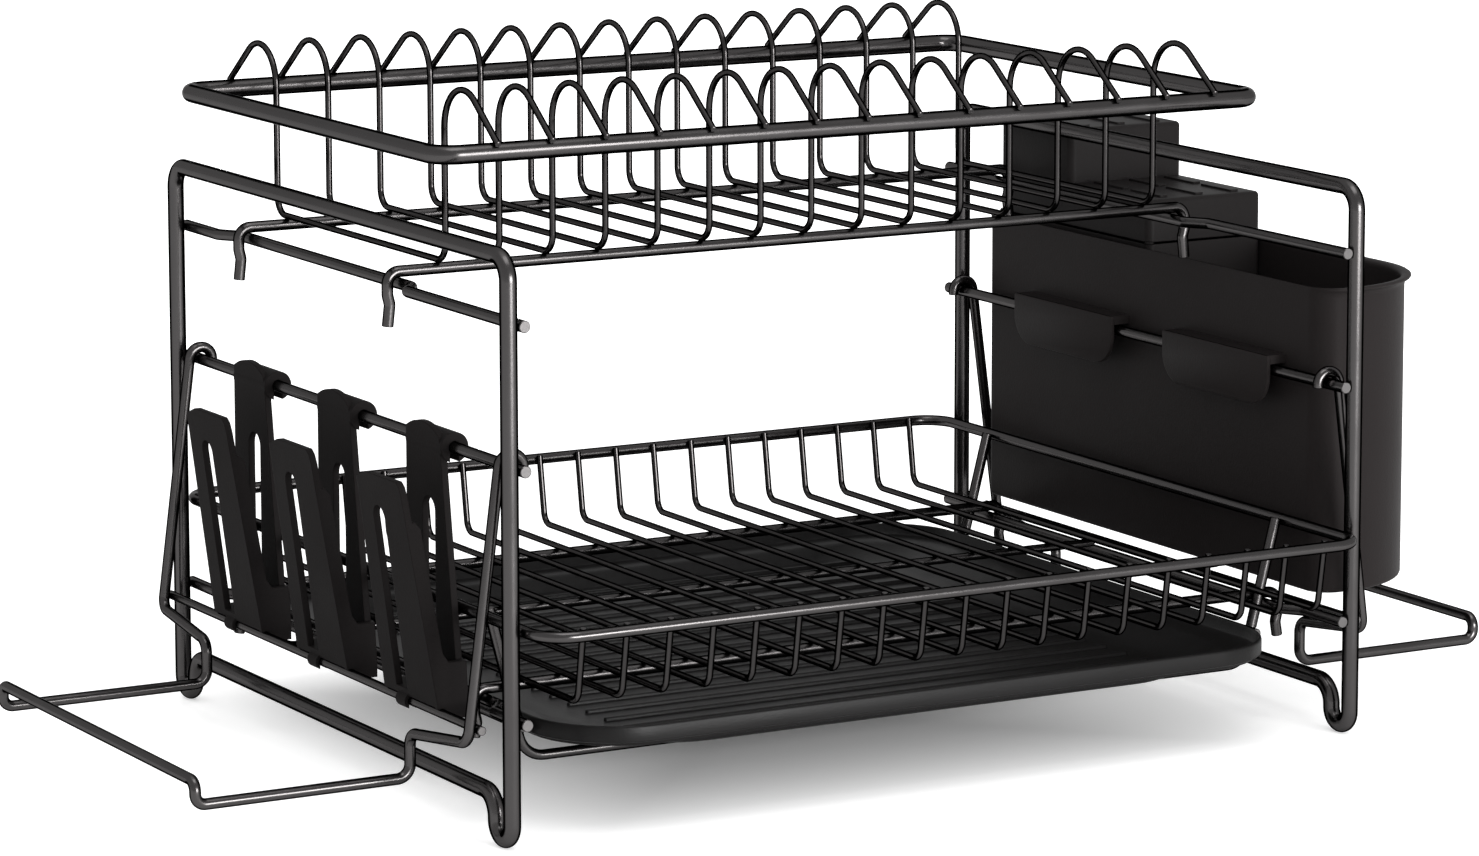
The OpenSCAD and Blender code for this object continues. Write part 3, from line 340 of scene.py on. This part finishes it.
# The loops' outer arms slope down to the rim and end 1.6 mm past their welds on it.
slope = math.radians(36.6)
arm_y = 134.23 + 1.6 * math.cos(slope)
arm_z = 284.58 - 1.6 * math.sin(slope)
loop = [(-arm_y, arm_z), (-LOOP_Y, LOOP_CORNER_Z), (-LOOP_Y, LOOP_FLOOR_Z),
        (LOOP_Y, LOOP_FLOOR_Z), (LOOP_Y, LOOP_CORNER_Z), (arm_y, arm_z)]
loops = [bent_line([(i * LOOP_PITCH, y + UPPER_Y, z) for y, z in loop], [18, 8, 8, 18], step=8)
         for i in np.arange(LOOP_COUNT) - LOOP_COUNT // 2]
wires("plate_loop_wires", loops, THIN_WIRE, thin_coat, "upper_basket", ["plate_loops"],
      sides=14, ends=sheared_end, chamfer=0.25)

# ---------------------------------------------------------------- Lower basket
# A 5.2 mm rim with nineteen 3 mm wires, each bent up at both ends inside the rim. Two hooked
# 5 mm runners carry it on the lower crossbars, with a thin one between them.
LOWER_RIM_WIRE = 5.2
LOWER_RIM_X = 203.2
LOWER_RIM_Y = (-185.4, 178.6)
LOWER_RIM_Z = 91.5
LOWER_RUNNER_WIRE = 5.0
LOWER_RUNNER_Y = 118.7
LOWER_RUNNER_Z = 58.02
MIDDLE_RUNNER_WIRE = 4.0
FLOOR_COUNT = 19
FLOOR_PITCH = 20.5
FLOOR_Z = 61.9
rim = bent_line([(sx * LOWER_RIM_X, LOWER_RIM_Y[i] + POSTS_MIDDLE, LOWER_RIM_Z)
                 for sx, i in ((-1, 0), (1, 0), (1, 1), (-1, 1))], [15] * 4, closed=True, step=6)
wires("lower_rim_wire", [rim], LOWER_RIM_WIRE, satin_coat, "lower_basket", ["lower_rim"],
      closed=True, sides=22)
for where, sign in (("front", -1), ("back", 1)):
    line = hooked_runner(POSTS_MIDDLE + sign * LOWER_RUNNER_Y, LOWER_RUNNER_Z, 5.42, 15)
    wires("lower_runner_wire_" + where, [line], LOWER_RUNNER_WIRE, satin_coat, "lower_basket",
          ["lower_runner_" + where], sides=20, ends=sheared_end)
line = np.array([(x, POSTS_MIDDLE + 15, LOWER_RUNNER_Z + 0.5) for x in (-190, 190)])
wires("lower_runner_wire_middle", [line], MIDDLE_RUNNER_WIRE, satin_coat, "lower_basket",
      ["lower_runner_middle"], sides=16, ends=sheared_end)
upright = [(-181.81, 93.9), (-176.62, FLOOR_Z), (169.82, FLOOR_Z), (175.01, 93.9)]
lines = [bent_line([(i * FLOOR_PITCH, y + POSTS_MIDDLE, z) for y, z in upright], [6, 6], step=8)
         for i in np.arange(FLOOR_COUNT) - FLOOR_COUNT // 2]
wires("floor_wire_set", lines, THIN_WIRE, thin_coat, "lower_basket", ["floor_wires"],
      sides=14, ends=sheared_end, chamfer=0.25)

# ---------------------------------------------------------------- Hangers and cradle
# Four slanted 5 mm wires hang a rod under each end of the lower basket. Two wires run from
# rod to rod under the drip tray, and everything is welded.
HANGER_WIRE = 5.0
HANGER_Y = 123.58
CRADLE_X = 185
CRADLE_Z = 42
CRADLE_LOW_Z = 27.6
CRADLE_WIRE = 4.5
tilt = math.radians(14.77)
for side, sx in (("left", -1), ("right", 1)):
    for where, sy in (("front", -1), ("back", 1)):
        reach = np.array([2.13, 49.5 / math.cos(tilt) + 1.5])
        line = np.stack([sx * (CRADLE_X + reach * math.sin(tilt)), np.full(2, POSTS_MIDDLE + sy * HANGER_Y),
                         CRADLE_Z + reach * math.cos(tilt)], 1)
        wires("hanger_wire_%s_%s" % (where, side), [line], HANGER_WIRE, satin_coat, "lower_basket",
              ["hanger_%s_%s" % (where, side)], sides=20, ends=sheared_end)
    line = np.array([(sx * CRADLE_X, POSTS_MIDDLE + y, CRADLE_Z) for y in (-129.3, 129.3)])
    wires("cradle_rod_wire_" + side, [line], CRADLE_WIRE, satin_coat, "lower_basket", ["cradle_rod_" + side],
          sides=18, ends=sheared_end)
for where, sy in (("front", -1), ("back", 1)):
    corners = [(sx * CRADLE_X, POSTS_MIDDLE + sy * HANGER_Y, z) for sx, z in
               ((-1, 39.87), (-1, CRADLE_LOW_Z), (1, CRADLE_LOW_Z), (1, 39.87))]
    wires("cradle_wire_bent_" + where, [bent_line(corners, [12, 12])], CRADLE_WIRE, satin_coat,
          "lower_basket", ["cradle_wire_" + where], sides=18)

# ---------------------------------------------------------------- Side racks
# Each rack is one 5 mm wire: it hooks over the middle crossbar, runs down outside the frame,
# and turns out into two arms and an outer bar. A thin rod joins its legs near the foot.
RACK_WIRE = 5.0
RACK_ROD_WIRE = 4.0
HOOK_X = 198.27
HOOK_Y = 155.5
ARM_Y = 104
ARM_Z = 20
RACK_END = 324
rack_half = [(HOOK_X, HOOK_Y, 157), (HOOK_X, HOOK_Y, 241.3), (224.46, HOOK_Y, 45), (225.96, ARM_Y, 39),
             (225.96, ARM_Y, ARM_Z), (RACK_END, ARM_Y, ARM_Z), (RACK_END, ARM_Y, ARM_Z + 10)]
for side, sign in (("left", -1), ("right", 1)):
    corners = [(sign * x, POSTS_MIDDLE - y, z) for x, y, z in rack_half]
    corners += [(sign * x, POSTS_MIDDLE + y, z) for x, y, z in rack_half[::-1]]
    bends = [5.5, 6, 6, 6, 4.6, 4.6]
    wires("rack_wire_bent_" + side, [bent_line(corners, bends + bends[::-1])], RACK_WIRE, satin_coat,
          side + "_rack", ["rack_wire_" + side], sides=20, ends=sheared_end)
    line = np.array([(sign * 219.38, POSTS_MIDDLE + y, 50) for y in (-158.5, 158.5)])
    wires("rack_rod_straight_" + side, [line], RACK_ROD_WIRE, satin_coat, side + "_rack",
          ["rack_rod_" + side], sides=16, ends=sheared_end)


# ---------------------------------------------------------------- Drip tray
# Injection moulded black polypropylene with a fine spark-eroded grain. It is a shallow dish with
# an upright rim and long ribs on its floor, and it lies loose on the two cradle wires.
def moulded(name, dark, light, rough, grain, radius=0.5, sheen=0.25):
    """Moulded plastic with a fine grain and slightly rounded edges. The grain is about 0.15 mm on the
    real part and is drawn as coarse as it needs to show; sheen is how much the skin mirrors."""
    made = bpy.data.materials.new(name)
    made.use_nodes = True
    tree = made.node_tree
    shader = tree.nodes["Principled BSDF"]
    place = add(tree, "ShaderNodeTexCoord").outputs["Object"]
    cloud = add(tree, "ShaderNodeTexNoise", {"Vector": place, "Scale": 18.0, "Detail": 4.0}).outputs["Fac"]
    pits = add(tree, "ShaderNodeTexNoise", {"Vector": place, "Scale": 1 / (grain * MM), "Detail": 3.0})
    pits = pits.outputs["Fac"]
    tone = add(tree, "ShaderNodeMix", {"Factor": cloud, 6: linear(dark), 7: linear(light)}, data_type="RGBA")
    gloss = add(tree, "ShaderNodeMapRange", {"Value": cloud, "From Min": 0.3, "From Max": 0.7,
                                             "To Min": rough - 0.04, "To Max": rough + 0.05})
    edge = add(tree, "ShaderNodeBevel", {"Radius": radius * MM}, samples=6).outputs[0]
    bump = add(tree, "ShaderNodeBump", {"Height": pits, "Strength": 0.25, "Distance": 0.0003, "Normal": edge})
    tree.links.new(tone.outputs[2], shader.inputs["Base Color"])
    tree.links.new(gloss.outputs[0], shader.inputs["Roughness"])
    tree.links.new(bump.outputs[0], shader.inputs["Normal"])
    shader.inputs["IOR"].default_value = 1.49
    shader.inputs["Specular IOR Level"].default_value = sheen
    return made


def plan(low, high, radii, z, steps=10):
    """Outline with round corners at height z. The corner of radius r between low and high is
    middle + r * (cos a, sin a), over a quarter turn; the corners run from front left, against the clock."""
    a = np.linspace(0, math.pi / 2, steps + 1)
    rows = []
    for i, ((sx, sy), r) in enumerate(zip(((-1, -1), (1, -1), (1, 1), (-1, 1)), radii)):
        middle = [high[0] - r if sx > 0 else low[0] + r, high[1] - r if sy > 0 else low[1] + r]
        t = a + math.pi + i * math.pi / 2
        rows.append(np.stack([middle[0] + r * np.cos(t), middle[1] + r * np.sin(t), np.full_like(t, z)], 1))
    return np.concatenate(rows)


def stacked(rows, start=0):
    """Points and faces of a closed body from outlines one above another, capped at both ends. The
    outlines go up the outside, over the edge, and down the inside."""
    n = len(rows[0])
    faces = skin(len(rows), n, start=start).tolist()
    faces.append((start + np.arange(n)[::-1]).tolist())
    faces.append((start + (len(rows) - 1) * n + np.arange(n)).tolist())
    return np.concatenate(rows), faces


def joined(bodies):
    """Several closed bodies as one list of points and one of faces."""
    points, faces, start = [], [], 0
    for rows in bodies:
        p, f = stacked(rows, start)
        points.append(p)
        faces += f
        start += len(p)
    return np.concatenate(points), faces


# Moulded polypropylene straight from a finely eroded tool: near black, with a broad satin sheen.
tray_black = moulded("satin moulded polypropylene", "#0d0c0c", "#121111", 0.4, 1.2, sheen=0.2)
RIB_PITCH = 17
RIB_COUNT = 17
# Half width, half depth, corner radius and height of each outline, from under the floor outwards.
underside = [(138.0, 146.5, 31.0, 31.02), (141.0, 148.5, 33.0, 31.2), (144.5, 149.5, 34.0, 32.0),
             (158.0, 150.1, 34.0, 35.8), (161.0, 150.7, 34.0, 36.4), (177.0, 162.5, 37.0, 36.5)]
rim_outside = [(178.4, 163.9, 38.2, 36.9), (178.8, 164.3, 38.6, 38.2), (180.3, 165.8, 39.4, 38.42),
               (180.9, 166.4, 39.9, 38.8), (181.0, 166.5, 40.0, 39.6), (181.0, 166.5, 40.0, 44.8)]
rim_edge = [(180.7, 166.2, 39.7, 45.5), (180.1, 165.6, 39.1, 45.82), (179.6, 165.1, 38.6, 45.7),
            (179.2, 164.7, 38.2, 45.0)]
inside = [(178.6, 164.1, 37.6, 41.4), (177.6, 163.1, 36.6, 40.6), (175.5, 161.0, 35.5, 40.42),
          (166.0, 153.1, 34.5, 40.2), (163.5, 150.5, 33.5, 39.0), (145.0, 147.9, 32.5, 34.0),
          (140.5, 146.5, 32.0, 33.2), (136.5, 143.5, 30.0, 33.02)]
# Half length, half width and height of each outline of a rib and of a foot, from below.
rib = [(133.0, 1.25, 32.8), (132.9, 1.2, 34.1), (132.5, 0.9, 34.5), (131.9, 0.4, 34.62)]
foot = [(17.6, 8.6, 30.17), (18.0, 9.0, 30.5), (18.0, 9.0, 31.6)]
FOOT_X = 119.0
bodies = [[plan((-x, POSTS_MIDDLE - y), (x, POSTS_MIDDLE + y), [r] * 4, z)
           for x, y, r, z in underside + rim_outside + rim_edge + inside]]
for i in range(RIB_COUNT):
    y = POSTS_MIDDLE + (i - RIB_COUNT // 2) * RIB_PITCH
    bodies.append([plan((-x, y - h), (x, y + h), [0.9 * h] * 4, z, steps=3) for x, h, z in rib])
for sx in (-1, 1):
    for sy in (-1, 1):
        x, y = sx * FOOT_X, POSTS_MIDDLE + sy * HANGER_Y
        bodies.append([plan((x - h, y - k), (x + h, y + k), [1.5] * 4, z, steps=3) for h, k, z in foot])
points, faces = joined(bodies)
piece("drip_tray_moulding", points, faces, tray_black, "drip_tray", ["drip_tray"])

# ---------------------------------------------------------------- Cup holders
# Three moulded black holders, each with a strap that clips over the middle crossbar and a
# slotted blade that leans outward. A small clip at the foot grips the rack's lower rod.
# Polypropylene with an eroded, matte skin: hardly a highlight but on its rounded edges.
holder_black = moulded("matte moulded polypropylene", "#191717", "#1d1b1b", 0.52, 1.0, radius=0.8,
                       sheen=0.02)
for name in ("cup_holder_back", "cup_holder_middle", "cup_holder_front"):
    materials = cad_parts[name].data.materials
    materials.clear()
    materials.append(holder_black)


# ---------------------------------------------------------------- Cutlery box
# A deep moulded box with one large round corner and a flared lip, hung by two clip plates over
# the middle crossbar. A wall divides it, and slots in its floor let the water out.
def pierced(made, holes):
    """Cuts round-ended or square holes, given as closed bodies, through a piece's mesh."""
    points, faces = joined(holes)
    tool_mesh = bpy.data.meshes.new("punch")
    tool_mesh.from_pydata((points * MM).tolist(), [], faces)
    tool = bpy.data.objects.new("punch", tool_mesh)
    bpy.context.scene.collection.objects.link(tool)
    cut = made.modifiers.new("cut", "BOOLEAN")
    cut.operation, cut.solver, cut.object = "DIFFERENCE", "EXACT", tool
    bpy.context.view_layer.update()
    ready = made.evaluated_get(bpy.context.evaluated_depsgraph_get())
    mesh = bpy.data.meshes.new_from_object(ready)
    made.modifiers.clear()
    old, made.data = made.data, mesh
    mesh.name = old.name
    bpy.data.meshes.remove(old)
    bpy.data.objects.remove(tool)
    bpy.data.meshes.remove(tool_mesh)
    mesh.set_sharp_from_angle(angle=SHARP)


# Fine grained polypropylene: an even dark grey that only brightens on the round corner.
box_black = moulded("fine grained polypropylene", "#211e1e", "#262323", 0.45, 1.2, sheen=0.04)
BOX_LOW = (208.67, POSTS_MIDDLE - 143.5)
BOX_HIGH = (280.67, POSTS_MIDDLE + 141.0)
BOX_RADII = (12, 56, 6, 6)
DIVIDER_Y = POSTS_MIDDLE - 65


def box_outline(grown, z):
    """The box's plan grown by a length; the side against the stand only shrinks."""
    low = (BOX_LOW[0] - min(grown, 0), BOX_LOW[1] - grown)
    high = (BOX_HIGH[0] + grown, BOX_HIGH[1] + grown)
    return plan(low, high, [r + grown for r in BOX_RADII], z, steps=14)


# Growth and height of each outline: up the outside, over the flared lip, and down the inside.
profile = [(-2.6, 59.5), (-1.3, 59.7), (-0.4, 60.4), (0.0, 61.6), (0.0, 130.0), (0.0, 194.0), (0.25, 195.4),
           (0.9, 196.4), (1.9, 196.9), (2.6, 197.2), (3.0, 197.8), (2.9, 198.4), (2.3, 198.8), (0.6, 198.7),
           (-0.6, 198.5), (-1.5, 197.9), (-1.9, 196.9), (-2.0, 195.4), (-2.0, 130.0), (-2.0, 63.4),
           (-2.5, 62.2), (-3.6, 61.5)]
bodies = [[box_outline(g, z) for g, z in profile]]
bodies.append([plan((209.9, DIVIDER_Y - h), (279.0, DIVIDER_Y + h), [0.4] * 4, z, steps=2)
               for h, z in ((1.0, 60.6), (1.0, 184.2), (0.8, 184.8), (0.4, 185.0))])
points, faces = joined(bodies)
box = piece("cutlery_box_moulding", points, faces, box_black, "cutlery_box", ["cutlery_box"])
# Five slots in the floor, along x, let the water out.
holes = []
for y in (-89, -41, -8, 40, 90):
    y += POSTS_MIDDLE
    holes.append([plan((222.67, y - 2.5), (266.67, y + 2.5), [2.2] * 4, z, steps=5) for z in (58.0, 63.2)])
pierced(box, holes)


def upright_plate(x0, x1, y0, y1, z0, z1, round_low, edge):
    """A plate across x with round lower corners and rounded edges: outlines in y and z, one behind
    another, drawn in by the edge radius at both faces."""
    rows = []
    for x, inset in ((x0, edge), (x0 + 0.3 * edge, 0.3 * edge), (x0 + edge, 0), (x1 - edge, 0),
                     (x1 - 0.3 * edge, 0.3 * edge), (x1, edge)):
        p = plan((y0 + inset, z0 + inset), (y1 - inset, z1 - inset),
                 [round_low - inset, round_low - inset, 1.2, 1.2], x)
        rows.append(p[:, [2, 0, 1]])
    return rows


# Each clip is a plate inside the crossbar and a bridge over the bar to the box.
CLIP_WIDTH = 86
CLIP_PITCH = 129
CLIP_TOP = 165.42
bodies = []
for y in (14, 14 - CLIP_PITCH):
    y += POSTS_MIDDLE
    bodies.append(upright_plate(198.57, 200.57, y, y + CLIP_WIDTH, 142.0, CLIP_TOP, 14, 0.5))
    bodies.append([plan((198.9, y + 0.4), (209.4, y + CLIP_WIDTH - 0.4), [0.5] * 4, z, steps=2)
                   for z in (CLIP_TOP - 4, CLIP_TOP)])
points, faces = joined(bodies)
piece("cutlery_box_clips", points, faces, box_black, "cutlery_box", [])

# ---------------------------------------------------------------- Knife block
# A hollow two-tier polypropylene moulding with knife slots through both tops. It stands in the
# box on a thin flange that rests on the lip, and lifts out for washing.
# The same fine grain as on the box, a little darker and glossier.
block_black = moulded("fine grained insert polypropylene", "#1a1818", "#1f1d1d", 0.45, 1.2, sheen=0.06)
BLOCK_X = (214.25, 278.17)
BLOCK_FRONT = POSTS_MIDDLE + 7
BLOCK_STEP = POSTS_MIDDLE + 75
BLOCK_BACK = POSTS_MIDDLE + 138.5
LOW_TOP = 220.5
HIGH_TOP = 246.5


def tier(y0, z0, z1):
    """A hollow tier, open below: up the outside, over a 2 mm rounded top edge, then up the inside."""
    rows = []
    for g, z in ((2.2, z1 - 2.2), (2.2, z0), (0.0, z0), (0.0, z1 - 2.0), (0.27, z1 - 1.0), (1.0, z1 - 0.27),
                 (2.0, z1)):
        rows.append(plan((BLOCK_X[0] + g, y0 + g), (BLOCK_X[1] - g, BLOCK_BACK - g),
                         [max(3.6 - g, 0.9)] * 4, z, steps=6))
    return rows


bodies = [tier(BLOCK_FRONT, 150.8, LOW_TOP), tier(BLOCK_STEP, 218.0, HIGH_TOP)]
# The flange stands 2 mm out at the right and at the back.
bodies.append([plan((BLOCK_X[0] + g, BLOCK_FRONT + g), (BLOCK_X[1] + 2 - g, BLOCK_BACK + 2 - g),
                    [3.0 - g] * 4, z, steps=6)
               for g, z in ((0.3, 199.12), (0.0, 199.4), (0.0, 200.4), (0.3, 200.72))])
points, faces = joined(bodies)
block = piece("knife_block_moulding", points, faces, block_black, "knife_block", ["knife_block"])
# Two rows of three slots in each top, the rows 32 mm apart in front and 28 mm apart behind.
low_middle = (BLOCK_FRONT + BLOCK_STEP) / 2
high_middle = (BLOCK_STEP + BLOCK_BACK) / 2
holes = []
for y, step, z in ((low_middle, 32, LOW_TOP), (high_middle, 28, HIGH_TOP)):
    for i in (-20, 0, 20):
        for j in (-0.5, 0.5):
            x, k = sum(BLOCK_X) / 2 + i, y + j * step
            holes.append([plan((x - 2.3, k - 13), (x + 2.3, k + 13), [1.0] * 4, h, steps=3)
                          for h in (z - 3.4, z + 1.0)])
pierced(block, holes)

# ---------------------------------------------------------------- Floor and light
# A white floor that keeps the rack's soft shadow, darkened further near the rack by painted shade, with a
# white surround. A large soft light stands in front, a little to the right, and a weaker one hangs overhead.
floor_mesh = bpy.data.meshes.new("floor")
floor_mesh.from_pydata([(-8, -8, 0), (8, -8, 0), (8, 8, 0), (-8, 8, 0)], [], [(0, 1, 2, 3)])
floor = bpy.data.objects.new("floor", floor_mesh)
bpy.context.scene.collection.objects.link(floor)
white_floor = bpy.data.materials.new("white studio floor")
white_floor.use_nodes = True
tree = white_floor.node_tree
tree.nodes.clear()
# To the camera the floor gives off light of its own, next to none under the rack, so the floor is darker
# there by painted shade on top of the rack's shadow. It grows over the distance from the edge of a 400 x 380
# mm rectangle, and then over the distance from the middle.
place = add(tree, "ShaderNodeTexCoord").outputs["Object"]
reach = add(tree, "ShaderNodeVectorMath", {0: place}, operation="ABSOLUTE").outputs["Vector"]
reach = add(tree, "ShaderNodeVectorMath", {0: reach, 1: (0.20, 0.19, 0.0)}, operation="SUBTRACT")
reach = add(tree, "ShaderNodeSeparateXYZ", {0: reach.outputs["Vector"]}).outputs
edge = add(tree, "ShaderNodeMath", {0: reach["X"], 1: reach["Y"]}, operation="MAXIMUM").outputs[0]
# Painted shade: this glow is nearly zero under the rack and rises outward, so the floor is darker near the
# rack.
near = add(tree, "ShaderNodeMapRange", {"Value": edge, "From Min": -0.17, "From Max": 0.06, "To Min": 0.03,
                                        "To Max": 0.55}, interpolation_type="SMOOTHSTEP").outputs[0]
far = add(tree, "ShaderNodeVectorMath", {0: place}, operation="LENGTH").outputs["Value"]
far = add(tree, "ShaderNodeMapRange", {"Value": far, "From Min": 0.4, "From Max": 1.2, "To Min": 0.0,
                                       "To Max": 0.95}, interpolation_type="SMOOTHSTEP").outputs[0]
glow_and_painted_shadow = add(tree, "ShaderNodeMath", {0: near, 1: far}, operation="MAXIMUM").outputs[0]
camera_ray = add(tree, "ShaderNodeLightPath").outputs["Is Camera Ray"]
glow_and_painted_shadow = add(tree, "ShaderNodeMath", {0: glow_and_painted_shadow, 1: camera_ray}, operation="MULTIPLY").outputs[0]
spread = add(tree, "ShaderNodeBsdfDiffuse", {"Color": linear("#f2f2f2")}).outputs[0]
glow = add(tree, "ShaderNodeEmission", {"Color": (1, 1, 1, 1), "Strength": glow_and_painted_shadow}).outputs[0]
both = add(tree, "ShaderNodeAddShader", {0: spread, 1: glow}).outputs[0]
add(tree, "ShaderNodeOutputMaterial", {"Surface": both})
floor_mesh.materials.append(white_floor)


def seen_directly(tree):
    """1 for rays from the camera, and for mirrored and transmitted ones, else 0."""
    rays = add(tree, "ShaderNodeLightPath").outputs
    some = add(tree, "ShaderNodeMath", {0: rays["Is Camera Ray"], 1: rays["Is Glossy Ray"]},
               operation="MAXIMUM").outputs[0]
    return add(tree, "ShaderNodeMath", {0: some, 1: rays["Is Transmission Ray"]},
               operation="MAXIMUM").outputs[0]


world = bpy.data.worlds.new("white surround")
bpy.context.scene.world = world
world.use_nodes = True
tree = world.node_tree
tree.nodes.clear()
# In mirrored rays it is a light grey, a little dimmer higher up, and white right overhead, as round a
# studio table. To the camera it is white all over, and it lights the rack from all round.
way = add(tree, "ShaderNodeTexCoord").outputs["Generated"]
height = add(tree, "ShaderNodeSeparateXYZ", {0: way}).outputs[2]
mirrored = add(tree, "ShaderNodeMapRange", {"Value": height, "From Min": 0.15, "From Max": 0.5,
                                            "To Min": 0.62, "To Max": 0.55},
               interpolation_type="SMOOTHSTEP").outputs[0]
above = add(tree, "ShaderNodeMapRange", {"Value": height, "From Min": 0.8, "From Max": 0.95, "To Min": 0.0,
                                         "To Max": 1.0}, interpolation_type="SMOOTHSTEP").outputs[0]
mirrored = add(tree, "ShaderNodeMath", {0: mirrored, 1: above}, operation="MAXIMUM").outputs[0]
camera_ray = add(tree, "ShaderNodeLightPath").outputs["Is Camera Ray"]
mirrored = add(tree, "ShaderNodeMath", {0: mirrored, 1: camera_ray}, operation="MAXIMUM").outputs[0]
level = add(tree, "ShaderNodeMapRange", {"Value": seen_directly(tree), "To Min": 0.95,
                                         "To Max": mirrored}).outputs[0]
shine = add(tree, "ShaderNodeBackground", {"Color": (1, 1, 1, 1), "Strength": level}).outputs[0]
add(tree, "ShaderNodeOutputWorld", {"Surface": shine})


def soft_light(name, place, target, wide, high, power):
    """Area light at a place, turned to a target; sizes in metres, power in watts."""
    lamp = bpy.data.lights.new(name, "AREA")
    lamp.shape = "RECTANGLE"
    lamp.size, lamp.size_y, lamp.energy = wide, high, power
    made = bpy.data.objects.new(name, lamp)
    made.location = place
    way = np.array(target, float) - np.array(place, float)
    down = math.acos(-way[2] / np.linalg.norm(way))
    made.rotation_euler = (down, 0, math.atan2(way[1], way[0]) - math.pi / 2)
    bpy.context.scene.collection.objects.link(made)
    return made


soft_light("front light", (0.45, -2.7, 0.45), (0, 0, 0.15), 1.4, 0.85, 64)
soft_light("top light", (0.0, -0.8, 2.5), (0, 0, 0), 1.8, 1.2, 14)
